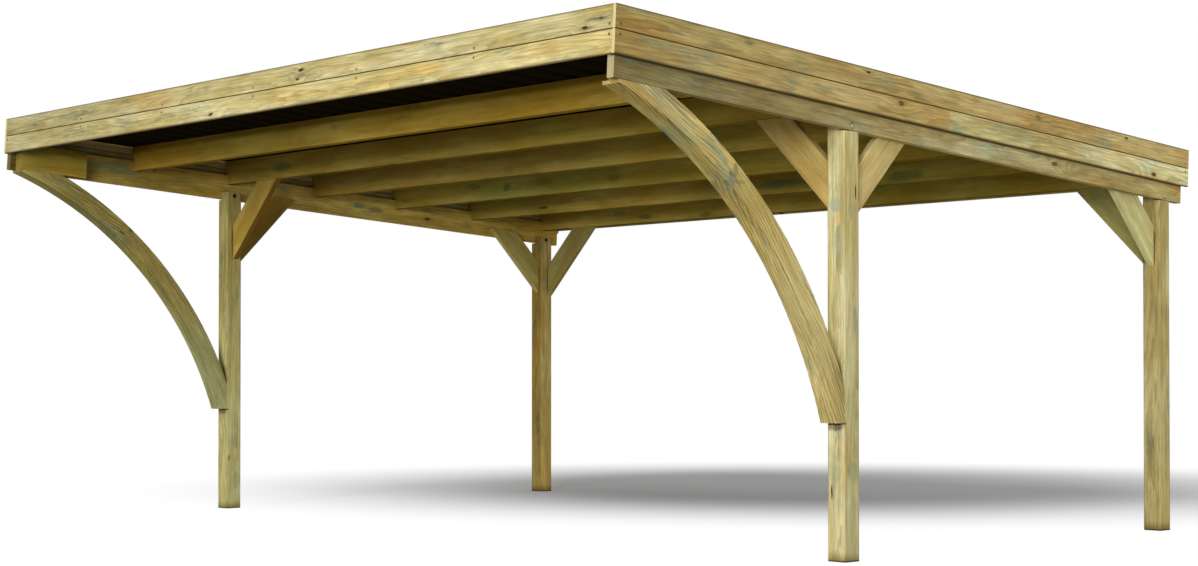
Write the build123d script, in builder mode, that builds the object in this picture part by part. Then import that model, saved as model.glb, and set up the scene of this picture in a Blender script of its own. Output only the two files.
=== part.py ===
from build123d import *
import math
import os

# Double timber carport: four notched posts carry two side beams that fall to the rear, six rafters
# lie across the beams, and a fascia two boards high hides the profiled roof sheets.
# Millimetres, +Z up, +X to the right and +Y to the rear, origin on the ground under the roof's middle.

# Overall layout
roof_width = 6020
roof_length = 5128
roof_fall_deg = 3.43
front_headroom = 2285
front_overhang = 1707
rear_overhang = 192
bays_between_posts = 4

# Timber sections
post_side = 118
post_inset = 4
beam_width = 45
beam_depth = 184
beam_drop = 111
rafter_width = 45
rafter_depth = 175
rail_width = 45
brace_width = 178
brace_thickness = 45
fascia_board = 118
fascia_thickness = 18
fascia_joint = 2
timber_ease = 4
fascia_ease = 2.5

# Joints between the timbers
tongue_rise = 55
front_post_to_rafter = 48
rear_post_to_rafter = 78
beam_rear_gap = 38
left_packing_setback = 43
right_packing_setback = 86
packing_length = 494
cross_brace_leg = 555
side_brace_run = 447
side_brace_lap = 65
lower_board_joint_share = 0.506
rear_board_lift = 20

# Arch braces
arch_radius = 2602
arch_depth = 122
arch_nose_setback = 38
arch_nose_height = 18
arch_foot_below_beam = 1552
arch_foot_depth = 61

# Roof sheets
sheet_count = 6
ribs_per_sheet = 5
rib_height = 35
rib_base = 90
rib_crest = 40
sheet_gauge = 0.7
sheet_side_gap = 4
sheet_front_gap = 6
sheet_rear_gap = 62

# Places worked out from the sizes above
fall = math.radians(roof_fall_deg)
fascia_height = 2 * fascia_board + fascia_joint
half_width = roof_width / 2 - fascia_thickness
half_length = roof_length / 2
beam_inner = half_width - beam_width
post_outer = half_width - post_inset
post_inner = post_outer - post_side
beam_top = beam_depth - beam_drop
roof_middle_y = -fascia_height * math.sin(fall) / 2
roof_front_y = roof_middle_y - half_length * math.cos(fall)
roof_rear_y = roof_middle_y + half_length * math.cos(fall)
front_post_y = roof_front_y + front_overhang
rear_post_y = roof_rear_y - rear_overhang - post_side
front_rafter_y = front_post_y + front_post_to_rafter
rear_rafter_y = rear_post_y + rear_post_to_rafter
roof_middle_z = (
    front_headroom
    + (front_post_y - roof_middle_y) * math.tan(fall)
    + beam_drop / math.cos(fall)
)

# The roof's own frame: x across, y down the slope to the rear, z square to the slope,
# with its origin level with the bottom edge of the fascia at the roof's middle.
roof = Plane(
    origin=(0, roof_middle_y, roof_middle_z),
    x_dir=(1, 0, 0),
    z_dir=(0, math.sin(fall), math.cos(fall)),
)
down_slope = Axis((0, 0, 0), roof.y_dir)

os.makedirs("parts", exist_ok=True)


def across_plane(along):
    """Plane square to the slope at a distance along it: x across, y up, extruding to the front."""
    return Plane(roof.from_local_coords((0, along, 0)), x_dir=(1, 0, 0), z_dir=roof.y_dir * -1)


def side_plane(across):
    """Upright plane at a distance across: x down the slope, y square to it, extruding to the right."""
    return Plane(roof.from_local_coords((across, 0, 0)), x_dir=roof.y_dir, z_dir=(1, 0, 0))


def height_of(level, y):
    """Height above ground of a plane parallel to the roof, level above the fascia's bottom edge."""
    return roof_middle_z - (y - roof_middle_y) * math.tan(fall) + level / math.cos(fall)


def along_of(y):
    """Distance along the roof's own frame of a point at its zero level."""
    return (y - roof_middle_y) / math.cos(fall)


def left_edge(side, inner, outer):
    """Lesser x of a piece that lies between two distances from the middle, on one side."""
    return inner if side > 0 else -outer


def write_piece(piece, name):
    """Label a finished piece and write it under its own name."""
    piece.part.label = name
    export_step(piece.part, f"parts/{name}.step")


sides = {"left": -1, "right": 1}
post_rows = {"front": front_post_y, "rear": rear_post_y}
brace_rows = {"front": front_rafter_y, "rear": rear_rafter_y}

# Posts: square timber with a level seat for the beam cut in the outer side; the tongue that is left
# stands inside the beam and is bolted to it.
seat_width = post_outer - beam_inner
for row, post_y in post_rows.items():
    seat_z = height_of(-beam_drop, post_y + post_side)
    for hand, side in sides.items():
        with BuildPart() as post:
            with BuildSketch(Plane.XY):
                with Locations((left_edge(side, post_inner, post_outer), post_y)):
                    Rectangle(post_side, post_side, align=(Align.MIN, Align.MIN))
            extrude(amount=seat_z + tongue_rise)
            with BuildSketch(Plane.XY.offset(seat_z)):
                with Locations((left_edge(side, beam_inner, post_outer), post_y)):
                    Rectangle(seat_width, post_side, align=(Align.MIN, Align.MIN))
            extrude(amount=tongue_rise, mode=Mode.SUBTRACT)
            corners = post.edges().filter_by(Axis.Z).sort_by(SortBy.LENGTH)[-4:]
            fillet(corners, timber_ease)
        write_piece(post, f"{row}_{hand}_post")

# Side beams: planks on edge that follow the roof's fall, from the front fascia to just short of the rear.
beam_front = fascia_thickness - half_length
beam_length = roof_length - 2 * fascia_thickness - beam_rear_gap
for hand, side in sides.items():
    with BuildPart() as beam:
        with BuildSketch(side_plane(left_edge(side, beam_inner, half_width))):
            with Locations((beam_front, -beam_drop)):
                Rectangle(beam_length, beam_depth, align=(Align.MIN, Align.MIN))
        extrude(amount=beam_width)
        fillet(beam.edges().filter_by(down_slope), timber_ease)
    write_piece(beam, f"{hand}_beam")

# Packing blocks: fill the step between beam and post width, where the arch brace is fixed.
# The right one is set further back, out of sight behind the end of its beam.
packing_width = beam_inner - post_inner
packing_setbacks = {"left": left_packing_setback, "right": right_packing_setback}
for hand, side in sides.items():
    with BuildPart() as packing:
        with BuildSketch(side_plane(left_edge(side, post_inner, beam_inner))):
            with Locations((beam_front + packing_setbacks[hand], -beam_drop)):
                Rectangle(packing_length, beam_depth, align=(Align.MIN, Align.MIN))
        extrude(amount=packing_width)
        fillet(packing.edges().filter_by(down_slope), timber_ease)
    write_piece(packing, f"{hand}_packing_block")

# Arch braces: two concentric arcs, cut level at the foot, upright at the nose and along the beam's
# underside. The centre is the radius away from the ends of the hollow edge, at nose and foot.
arch_nose_y = roof_front_y + fascia_thickness + arch_nose_setback
arch_nose_z = height_of(-beam_drop, arch_nose_y) - arch_nose_height
arch_foot_y = front_post_y - arch_foot_depth
arch_foot_z = front_headroom - arch_foot_below_beam
arch_rise = arch_nose_z - arch_foot_z
arch_run = arch_foot_y - arch_nose_y
arch_chord = math.hypot(arch_rise, arch_run)
arch_reach = math.sqrt(arch_radius**2 - (arch_chord / 2) ** 2)
arch_centre = (
    (arch_nose_y + arch_foot_y) / 2 - arch_reach * arch_rise / arch_chord,
    (arch_nose_z + arch_foot_z) / 2 - arch_reach * arch_run / arch_chord,
)
for hand, side in sides.items():
    with BuildPart() as arch:
        with BuildSketch(Plane.YZ.offset(left_edge(side, post_inner, post_outer))):
            with Locations(arch_centre):
                Circle(arch_radius + arch_depth)
                Circle(arch_radius, mode=Mode.SUBTRACT)
            with BuildLine():
                Polyline(
                    (arch_nose_y, arch_foot_z),
                    (front_post_y, arch_foot_z),
                    (front_post_y, height_of(-beam_drop, front_post_y)),
                    (arch_nose_y, height_of(-beam_drop, arch_nose_y)),
                    close=True,
                )
            make_face(mode=Mode.INTERSECT)
        extrude(amount=post_side)
        fillet(arch.edges().filter_by(GeomType.CIRCLE), timber_ease)
    write_piece(arch, f"{hand}_arch_brace")

# Rafters: planks on edge across the roof, notched at both ends to lap over the beams.
rafter_pitch = (rear_rafter_y - front_rafter_y) / bays_between_posts
for number in range(1, bays_between_posts + 3):
    rafter_y = front_rafter_y + (number - 2) * rafter_pitch
    with BuildPart() as rafter:
        with BuildSketch(across_plane(along_of(rafter_y) + rafter_width)):
            Rectangle(2 * beam_inner, rafter_depth, align=(Align.CENTER, Align.MIN))
            with Locations((0, beam_top)):
                Rectangle(2 * half_width, rafter_depth - beam_top, align=(Align.CENTER, Align.MIN))
        extrude(amount=rafter_width)
        long_edges = rafter.edges().filter_by(Axis.X).group_by(Axis.Z)
        fillet(long_edges[0] + long_edges[1], timber_ease)
    write_piece(rafter, f"rafter_{number}")

# Rails: planks on edge that lie on the beams' ends and take the nails of the front and rear fascia.
rail_depth = rafter_depth - beam_top
rail_backs = {"front": beam_front + rail_width, "rear": half_length - fascia_thickness}
for row, rail_back in rail_backs.items():
    with BuildPart() as rail:
        with BuildSketch(across_plane(rail_back)):
            with Locations((0, beam_top)):
                Rectangle(2 * half_width, rail_depth, align=(Align.CENTER, Align.MIN))
        extrude(amount=rail_width)
    write_piece(rail, f"{row}_rail")

# Knee braces at 45 degrees: the cross braces stand under the rafters over the posts,
# the side braces lap the inner faces of the beams.
brace_cut = brace_width * math.sqrt(2)
brace_overrun = brace_width
for row, rafter_y in brace_rows.items():
    cross_tip = height_of(0, rafter_y) - cross_brace_leg
    run = cross_brace_leg + brace_overrun
    for hand, side in sides.items():
        with BuildPart() as cross_brace:
            with BuildSketch(Plane.XZ.offset(-rafter_y)):
                with BuildLine():
                    Polyline(
                        (side * post_inner, cross_tip),
                        (side * post_inner, cross_tip + brace_cut),
                        (side * (post_inner - run), cross_tip + brace_cut + run),
                        (side * (post_inner - run), cross_tip + run),
                        close=True,
                    )
                make_face()
            extrude(amount=-brace_thickness)
            split(bisect_by=roof, keep=Keep.BOTTOM)
            slant = Axis((0, 0, 0), (-side, 0, 1))
            fillet(cross_brace.edges().filter_by(slant), timber_ease)
        write_piece(cross_brace, f"{row}_{hand}_cross_brace")

brace_ways = {"front": (front_post_y + post_side, 1), "rear": (rear_post_y, -1)}
lap_plane = roof.offset(side_brace_lap - beam_drop)
for row, (foot_y, way) in brace_ways.items():
    side_tip = height_of(-beam_drop, foot_y + way * side_brace_run) - side_brace_run
    run = side_brace_run + side_brace_lap + brace_overrun
    for hand, side in sides.items():
        with BuildPart() as side_brace:
            with BuildSketch(Plane.YZ.offset(left_edge(side, beam_inner - brace_thickness, beam_inner))):
                with BuildLine():
                    Polyline(
                        (foot_y, side_tip),
                        (foot_y, side_tip + brace_cut),
                        (foot_y + way * run, side_tip + brace_cut + run),
                        (foot_y + way * run, side_tip + run),
                        close=True,
                    )
                make_face()
            extrude(amount=brace_thickness)
            split(bisect_by=lap_plane, keep=Keep.BOTTOM)
            slant = Axis((0, 0, 0), (0, way, 1))
            fillet(side_brace.edges().filter_by(slant), timber_ease)
        write_piece(side_brace, f"{row}_{hand}_side_brace")

# Fascia: two boards high, with the front and rear boards between the side boards.
# The lower rear board is narrower, so that its bottom edge stays behind the last rafter.
fascia_levels = {"lower": 0, "upper": fascia_board + fascia_joint}
fascia_backs = {"front": beam_front, "rear": half_length}
lower_board_lifts = {"front": 0, "rear": rear_board_lift}
for row, fascia_back in fascia_backs.items():
    for tier, level in fascia_levels.items():
        lift = lower_board_lifts[row] if tier == "lower" else 0
        with BuildPart() as board:
            with BuildSketch(across_plane(fascia_back)):
                with Locations((0, level + lift)):
                    Rectangle(2 * half_width, fascia_board - lift, align=(Align.CENTER, Align.MIN))
            extrude(amount=fascia_thickness)
            fillet(board.edges().filter_by(Axis.X), fascia_ease)
        write_piece(board, f"{row}_{tier}_fascia")

# Each lower side board is in two lengths that butt over the beam.
joint_at = lower_board_joint_share * roof_length - half_length
side_boards = {
    "lower_front_fascia": ("lower", -half_length, joint_at),
    "lower_rear_fascia": ("lower", joint_at, half_length),
    "upper_fascia": ("upper", -half_length, half_length),
}
for hand, side in sides.items():
    for name, (tier, start, end) in side_boards.items():
        with BuildPart() as board:
            with BuildSketch(side_plane(left_edge(side, half_width, roof_width / 2))):
                with Locations((start, fascia_levels[tier])):
                    Rectangle(end - start, fascia_board, align=(Align.MIN, Align.MIN))
            extrude(amount=fascia_thickness)
            fillet(board.edges().filter_by(down_slope), fascia_ease)
        write_piece(board, f"{hand}_{name}")

# Roof sheets: profiled sheet with ribs down the slope, each lapping the last rib of the sheet before it.
sheet_cover = 2 * (half_width - sheet_side_gap) / sheet_count
rib_pitch = sheet_cover / ribs_per_sheet
rib_lean = (rib_base - rib_crest) / 2
lap_foot = sheet_gauge * rib_lean / rib_height
sheet_back = half_length - fascia_thickness - sheet_rear_gap
sheet_length = roof_length - 2 * fascia_thickness - sheet_front_gap - sheet_rear_gap
for number in range(1, sheet_count + 1):
    sheet_left = (number - 1) * sheet_cover - sheet_count * sheet_cover / 2
    if number == 1:
        underside = [(sheet_left, 0)]
    else:
        lap_rib = sheet_left - rib_pitch / 2
        underside = [
            (lap_rib - rib_crest / 2, rib_height + sheet_gauge),
            (lap_rib + rib_crest / 2, rib_height + sheet_gauge),
            (lap_rib + rib_base / 2 + lap_foot, 0),
        ]
    for rib in range(ribs_per_sheet):
        rib_x = sheet_left + (rib + 1 / 2) * rib_pitch
        underside += [
            (rib_x - rib_base / 2, 0),
            (rib_x - rib_crest / 2, rib_height),
            (rib_x + rib_crest / 2, rib_height),
            (rib_x + rib_base / 2, 0),
        ]
    if number == sheet_count:
        underside.append((sheet_left + sheet_cover, 0))
    topside = [(x, level + sheet_gauge) for x, level in reversed(underside)]
    outline = [(x, rafter_depth + level) for x, level in underside + topside]
    with BuildPart() as sheet:
        with BuildSketch(across_plane(sheet_back)):
            with BuildLine():
                Polyline(*outline, close=True)
            make_face()
        extrude(amount=sheet_length)
    write_piece(sheet, f"roof_sheet_{number}")
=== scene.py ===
import math

import bpy
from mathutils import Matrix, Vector


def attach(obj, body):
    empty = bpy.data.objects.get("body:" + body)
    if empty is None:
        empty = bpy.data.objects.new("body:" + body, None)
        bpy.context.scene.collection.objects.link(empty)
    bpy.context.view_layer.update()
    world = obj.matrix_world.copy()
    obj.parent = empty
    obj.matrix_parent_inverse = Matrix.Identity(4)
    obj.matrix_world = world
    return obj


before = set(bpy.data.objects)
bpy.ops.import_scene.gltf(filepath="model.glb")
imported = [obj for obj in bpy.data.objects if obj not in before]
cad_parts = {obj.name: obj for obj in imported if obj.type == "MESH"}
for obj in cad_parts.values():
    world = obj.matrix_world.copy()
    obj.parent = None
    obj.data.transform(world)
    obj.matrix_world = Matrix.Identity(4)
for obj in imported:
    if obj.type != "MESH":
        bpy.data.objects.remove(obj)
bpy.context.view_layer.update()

# Posts
# Four square posts of pressure-treated pine stand on the ground, sawn to size with eased corners.
# A tongue on the inner half of each top stands up beside the beam, which is bolted to it.


class Socket:
    """One socket of a finish. Sums written on it add Math nodes to the same finish."""

    def __init__(self, tree, socket=None):
        self.tree = tree
        self.socket = socket

    def node(self, kind, settings=None, sockets=None, out=0):
        made = self.tree.nodes.new(kind)
        for name, value in (settings or {}).items():
            setattr(made, name, value)
        for name, value in (sockets or {}).items():
            for one in value if isinstance(value, list) else [value]:
                if isinstance(one, Socket):
                    self.tree.links.new(one.socket, made.inputs[name])
                else:
                    made.inputs[name].default_value = one
        return Socket(self.tree, made.outputs[out] if made.outputs else None)

    def out(self, name):
        return Socket(self.tree, self.socket.node.outputs[name])

    def into(self, shader, name):
        self.tree.links.new(self.socket, shader.inputs[name])

    def math(self, operation, first, second=0.0):
        return self.node("ShaderNodeMath", {"operation": operation}, {0: first, 1: second})

    def __add__(self, other):
        return self.math("ADD", self, other)

    __radd__ = __add__

    def __sub__(self, other):
        return self.math("SUBTRACT", self, other)

    def __rsub__(self, other):
        return self.math("SUBTRACT", other, self)

    def __mul__(self, other):
        return self.math("MULTIPLY", self, other)

    __rmul__ = __mul__

    def __truediv__(self, other):
        return self.math("DIVIDE", self, other)

    def __rtruediv__(self, other):
        return self.math("DIVIDE", other, self)

    def __pow__(self, power):
        return self.math("POWER", self, power)


def colour(red, green, blue):
    def linear(level):
        level /= 255
        return level / 12.92 if level <= 0.04045 else ((level + 0.055) / 1.055) ** 2.4

    return (linear(red), linear(green), linear(blue), 1.0)


def mixed(first, second, amount):
    return amount.node("ShaderNodeMix", {"data_type": "RGBA"}, {0: amount, 6: first, 7: second}, out=2)


def tinted(body, tint, amount=1.0):
    """The same surface under a wash: each of its colours is multiplied, so the grain stays."""
    wash = tint if isinstance(tint, Socket) else (*tint, 1.0)
    settings = {"data_type": "RGBA", "blend_type": "MULTIPLY"}
    return body.node("ShaderNodeMix", settings, {0: amount, 6: body, 7: wash}, out=2)


def ramp(value, low, high):
    return value.node(
        "ShaderNodeMapRange",
        {"interpolation_type": "SMOOTHSTEP"},
        {"Value": value, "From Min": low, "From Max": high},
    )


def joined(x, y, z):
    start = next(part for part in (x, y, z) if isinstance(part, Socket))
    return start.node("ShaderNodeCombineXYZ", None, {0: x, 1: y, 2: z})


def stretched(place, scale, shift=(0.0, 0.0, 0.0)):
    return place.node("ShaderNodeMapping", None, {"Vector": place, "Location": shift, "Scale": scale})


def cloud(place, scale, detail=2.0, shift=(0.0, 0.0, 0.0)):
    moved = stretched(place, scale, shift)
    sockets = {"Vector": moved, "Scale": 1.0, "Detail": detail, "Roughness": 0.55}
    return place.node("ShaderNodeTexNoise", {"noise_dimensions": "3D"}, sockets)


def length_of(vector):
    return vector.node("ShaderNodeVectorMath", {"operation": "LENGTH"}, {0: vector}, out="Value")


def spot(place, centre, size):
    """Distance from a centre in a place whose three sides are counted in the given sizes."""
    scale = tuple(1.0 / side for side in size)
    shift = tuple(-middle / side for middle, side in zip(centre, size))
    return length_of(stretched(place, scale, shift))


def face_spot(face, along, level, length, width):
    return spot(face, (along, level, 0.0), (length, width, 1.0))


def new_finish(name):
    material = bpy.data.materials.new(name)
    material.use_nodes = True
    shader = material.node_tree.nodes["Principled BSDF"]
    place = Socket(material.node_tree).node("ShaderNodeTexCoord", out="Object")
    return material, shader, place


def bumped(shader, height, strength, distance):
    sockets = {"Strength": strength, "Distance": distance, "Height": height}
    height.node("ShaderNodeBump", None, sockets).into(shader, "Normal")


def treated_pine(name, lay, looks):
    """Sawn pine with its year rings, fibres, knots and the green and blue of the preservative.

    lay turns x, y, z into the length along the grain, the two ways across it, a number that
    differs from piece to piece, and the height at which the marks of this finish are counted.
    """
    material, shader, place = new_finish(name)
    split = place.node("ShaderNodeSeparateXYZ", None, {0: place})
    along, across, through, piece, level = lay(split.out(0), split.out(1), split.out(2))
    grain = joined(along + piece * 3.7, across + piece * 0.31, through)
    flat = joined(along, level, 0.0)

    # year rings: distance to a pith that wanders beside the piece
    drift = cloud(grain, (0.9, 2.0, 2.0), 1.0)
    sway = cloud(grain, (0.6, 1.0, 1.0), 0.0, (4.0, 7.0, 1.0))
    pith_across, pith_through = looks["pith"]
    side = across - pith_across + (drift - 0.5) * looks["drift"]
    depth = through - pith_through + (sway - 0.5) * looks["drift"] * 0.6
    radius = (side * side + depth * depth) ** 0.5

    # knots: a branch ran through the piece here, and the rings bend round it
    cells = stretched(joined(along + piece * 2.3, across + piece * 0.17, 0.0), (0.95, 4.0, 1.0))
    sockets = {"Vector": cells, "Scale": 1.0}
    cell = cells.node("ShaderNodeTexVoronoi", {"voronoi_dimensions": "2D"}, sockets, out="Position")
    offset = cells.node("ShaderNodeVectorMath", {"operation": "SUBTRACT"}, {0: cells, 1: cell})
    paced = cells.node("ShaderNodeVectorMath", {"operation": "MULTIPLY"}, {0: offset, 1: (0.66, 0.25, 0.0)})
    chance = cells.node("ShaderNodeSeparateColor", None, {0: cell.out("Color")})
    has_knot = chance.math("LESS_THAN", chance, looks["knot_share"])
    near = length_of(paced) / (0.007 + chance.out(1) * 0.008)
    knot = (1.0 - ramp(near, 0.45, 1.1)) * has_knot
    halo = (1.0 - ramp(near, 0.8, 2.6)) * has_knot
    radius = radius + (1.0 - ramp(near, 0.4, 6.0)) * has_knot * 0.012
    waver = cloud(grain, (3.5, 30.0, 30.0), 3.0, (9.0, 2.0, 5.0))
    for spot_along, spot_level, size in looks.get("knots", ()):
        near = face_spot(flat, spot_along, spot_level, size * 2.0, size * 0.8) + (waver - 0.5) * 0.9
        knot = knot.math("MAXIMUM", knot, 1.0 - ramp(near, 0.45, 1.1))
        halo = halo.math("MAXIMUM", halo, 1.0 - ramp(near, 0.8, 2.8))
        radius = radius + (1.0 - ramp(near, 0.4, 6.0)) * (size * 0.9)

    phase = radius / looks["ring"] + (waver - 0.5) * 1.5
    ring = phase.math("FRACT", phase) ** 1.8
    fibre = cloud(grain, (6.0, 150.0, 150.0), 3.0, (1.0, 8.0, 3.0))
    streak = cloud(grain, (1.6, 48.0, 48.0), 4.0, (6.0, 1.0, 2.0))
    mottle = cloud(grain, (7.0, 26.0, 26.0), 4.0, (4.0, 3.0, 8.0))
    patch = cloud(grain, (1.3, 7.0, 7.0), 3.0, (3.0, 5.0, 9.0))
    blush = cloud(grain, (1.1, 5.0, 5.0), 3.0, (8.0, 8.0, 1.0))

    body = mixed(looks["pale"], looks["tan"], ramp(patch, 0.36, 0.62))
    body = mixed(body, looks["warm"], ramp(blush, 0.50, 0.68) * 0.7)
    body = mixed(body, looks["late"], ring * ramp(patch + mottle * 0.6, 0.52, 0.90) * looks["figure"])
    body = mixed(body, looks["late"], ramp(streak, 0.50, 0.70) * looks["streaks"])

    # preservative stain: soft cloudy patches that break up along the grain and the rings
    wisp = cloud(grain, (14.0, 60.0, 60.0), 4.0, (2.0, 2.0, 7.0))
    blot = cloud(grain, (13.0, 28.0, 28.0), 4.0, (7.0, 4.0, 3.0))
    soaked = cloud(grain, (2.8, 13.0, 13.0), 3.0, (5.0, 9.0, 4.0))
    stain = ramp(soaked, looks["stain_from"], looks["stain_from"] + 0.14)
    for *outline, strength in looks.get("stains", ()):
        near = face_spot(flat, *outline) + (blot - 0.5) * 2.6
        stain = stain + (1.0 - ramp(near, 0.2, 1.2)) * strength
    stain = stain * ramp(blot * 0.6 + wisp * 0.4, 0.38, 0.60) * (0.6 + ring) * looks["stain_depth"]
    body = mixed(body, looks["stain"], stain.math("MINIMUM", stain, 0.9))

    shade = (1.0 + (fibre - 0.5) * looks["grain"]) * (1.0 + (mottle - 0.5) * looks["mottle"])
    body = tinted(body, joined(shade, shade, shade))
    body = mixed(body, looks["halo"], halo * ramp(wisp, 0.3, 0.7) * 0.5)
    body = mixed(body, looks["knot"], knot * ramp(ring + fibre, 0.1, 0.7) * 0.95)

    # what belongs to one piece: its own tone with painted light and shade, then its splits, stains, dirt,
    # and painted shade round its bolts and where parts meet
    if "extra" in looks:
        body = looks["extra"](body, along, level, split, mottle)
    for centre, size, dark, tint in looks.get("marks", ()):
        near = spot(place, centre, size) + (blot - 0.5) * 0.9
        body = mixed(body, tint, (1.0 - ramp(near, 0.5, 1.05)) * dark)

    body.into(shader, "Base Color")
    rough = 0.62 + ring * 0.10 + fibre * 0.16 - knot * 0.15
    rough.into(shader, "Roughness")
    height = ring * looks["figure"] * 0.6 + fibre * 0.75 + mottle * 0.5 - knot * 0.4
    bumped(shader, height, 0.4, 0.0012)
    shader.inputs["Specular IOR Level"].default_value = looks["sheen"]
    return material


def dress(material, *names):
    for name in names:
        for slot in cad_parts[name].material_slots:
            slot.material = material


post_side = 0.118
post_out = 2.929
post_inner = 2.870
post_outer = 2.988
post_rows = (-0.8005, 2.3013)
post_front = -0.8595
between_rows = 0.7
middle_strip = 0.1


def on_left(split):
    return 1.0 - ramp(split.out(0), -middle_strip, middle_strip)


def in_rear_row(y):
    return y.math("GREATER_THAN", y, between_rows)


def from_row(y, rear):
    return y - post_rows[0] - rear * (post_rows[1] - post_rows[0])


def post_lay(x, y, z):
    side = x.math("SIGN", x)
    rear = in_rear_row(y)
    across = x - side * post_out
    return z, across, from_row(y, rear), side * 1.3 + rear * 2.9, across


def post_tones_and_shade(body, along, across, split, mottle):
    left = on_left(split)
    rear = in_rear_row(split.out(1))
    through = from_row(split.out(1), rear)
    near_left = left * (1.0 - rear)
    near_right = (1.0 - left) * (1.0 - rear)
    far_left = left * rear
    far_right = (1.0 - left) * rear
    face = 1.0 - ramp(through, -0.0583, -0.0565)
    flank = 1.0 - face
    # Each post has its own tone; where the front face and the side of a post get different tints, that is
    # painted light and shade for how the light falls on them.
    body = tinted(body, (0.68, 0.655, 0.46), near_left)
    body = tinted(body, (0.90, 0.88, 0.80), near_right)
    body = tinted(body, (0.61, 0.57, 0.46), far_right * face)
    body = tinted(body, (0.73, 0.70, 0.59), far_right * flank)
    body = tinted(body, (0.47, 0.37, 0.18), far_left * face)
    body = tinted(body, (0.78, 0.66, 0.40), far_left * flank)
    low = 1.0 - ramp(along, 0.5, 1.7)
    foot = 1.0 - ramp(along, 0.3, 1.1)
    body = tinted(body, (1.22, 1.34, 1.70), near_left * flank * foot)
    body = tinted(body, (0.94, 0.96, 1.02), near_left * face * low)
    body = tinted(body, (0.84, 0.88, 0.92), near_right * flank * low)
    body = tinted(body, (1.02, 1.03, 1.08), near_right * face)
    body = tinted(body, (1.04, 1.07, 1.18), near_right * face * low)
    # painted shade along the rounded corners of the posts
    corner = across + through
    shaded_arris = ramp(corner.math("ABSOLUTE", corner), post_side - 0.010, post_side)
    body = tinted(body, (0.55, 0.53, 0.48), shaded_arris)
    # darker towards the foot, and darkest in the last centimetre above the ground
    darker_foot = 1.0 - ramp(along + (mottle - 0.5) * 0.04, 0.0, 0.065)
    body = tinted(body, (0.50, 0.44, 0.36), darker_foot)
    return mixed(body, colour(52, 42, 24), (1.0 - ramp(along, 0.004, 0.013)) * 0.85)


pine = {
    "pale": colour(228, 220, 170),
    "tan": colour(211, 198, 138),
    "late": colour(168, 149, 92),
    "warm": colour(210, 178, 108),
    "stain": colour(134, 150, 126),
    "knot": colour(78, 56, 30),
    "halo": colour(150, 114, 58),
    "pith": (0.03, 0.09),
    "drift": 0.16,
    "ring": 0.0085,
    "figure": 0.55,
    "streaks": 0.35,
    "mottle": 0.6,
    "grain": 0.75,
    "knot_share": 0.10,
    "stain_from": 0.57,
    "stain_depth": 0.85,
    "sheen": 0.08,
}
# The first colour is near black for splits, and also for painted shade round the nuts and a painted shadow
# under the arch feet. The second is painted shade where parts meet and round the bolt heads.
split_and_shade_dark = colour(44, 32, 18)
contact_shade = colour(70, 56, 26)
bolt_heights = (2.3052, 2.1191)
post_marks = [
    ((2.930, post_front, 1.886), (0.050, 0.012, 0.050), 0.45, colour(150, 162, 146)),
    ((2.936, post_front, 1.817), (0.026, 0.012, 0.050), 0.45, colour(222, 184, 108)),
    ((2.943, post_front, 1.690), (0.036, 0.012, 0.100), 0.32, colour(146, 156, 128)),
    ((2.943, post_front, 1.580), (0.024, 0.012, 0.070), 0.38, colour(120, 124, 92)),
    ((2.920, post_front, 0.470), (0.050, 0.012, 0.055), 0.50, colour(152, 158, 124)),
    ((post_outer, -0.790, 1.860), (0.012, 0.050, 0.060), 0.45, colour(146, 152, 120)),
    ((post_outer, -0.772, 1.280), (0.012, 0.018, 0.090), 0.50, colour(112, 134, 112)),
    ((post_outer, -0.790, 0.470), (0.012, 0.050, 0.070), 0.45, colour(122, 136, 104)),
    ((post_outer, -0.769, 1.960), (0.012, 0.0060, 0.052), 1.0, split_and_shade_dark),
    ((2.898, post_front, 0.369), (0.0060, 0.012, 0.048), 1.0, split_and_shade_dark),
    ((-post_inner, -0.842, 0.371), (0.012, 0.0075, 0.030), 0.75, split_and_shade_dark),
    ((-post_inner, -0.782, 0.502), (0.012, 0.030, 0.070), 0.50, colour(138, 142, 104)),
    ((-post_inner, -0.781, 0.207), (0.012, 0.035, 0.090), 0.45, colour(134, 138, 98)),
    # painted shade where the knee braces meet the posts
    ((-post_inner, -0.817, 1.960), (0.012, 0.012, 0.150), 0.75, contact_shade),
    ((-post_inner, 2.316, 1.775), (0.012, 0.012, 0.150), 0.75, contact_shade),
    ((-2.898, 2.242, 1.770), (0.010, 0.012, 0.150), 0.75, contact_shade),
    ((2.952, 2.242, 1.790), (0.012, 0.012, 0.150), 0.75, contact_shade),
]
# painted shade round each nut on the inner face, as if it sat in a bored hole
for middle, bolt_height in zip(post_rows, bolt_heights):
    for inner in (-post_inner, post_inner):
        post_marks.append(((inner, middle, bolt_height), (0.019, 0.019, 0.019), 0.9, split_and_shade_dark))
# painted shade in the gap behind the foot of each arch brace, and a painted shadow under the foot
for centre in (-post_out, post_out):
    post_marks.append(((centre, post_front, 0.985), (0.075, 0.02, 0.11), 0.55, contact_shade))
    post_marks.append(((centre, post_front, 0.718), (0.090, 0.02, 0.030), 0.45, contact_shade))
    post_marks.append(((centre, post_front, 0.731), (0.120, 0.02, 0.011), 0.9, split_and_shade_dark))
post_stains = ((1.879, 0.0, 0.16, 0.05, 0.8), (0.53, 0.0, 0.2, 0.05, 0.7), (1.44, 0.02, 0.2, 0.04, 0.5))
post_pine = treated_pine(
    "post_pine",
    post_lay,
    {
        **pine,
        "ring": 0.012,
        "figure": 0.65,
        "streaks": 0.5,
        "mottle": 0.9,
        "grain": 1.05,
        "marks": post_marks,
        "stains": post_stains,
        "extra": post_tones_and_shade,
    },
)
dress(post_pine, "front_left_post", "front_right_post", "rear_left_post", "rear_right_post")

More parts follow.
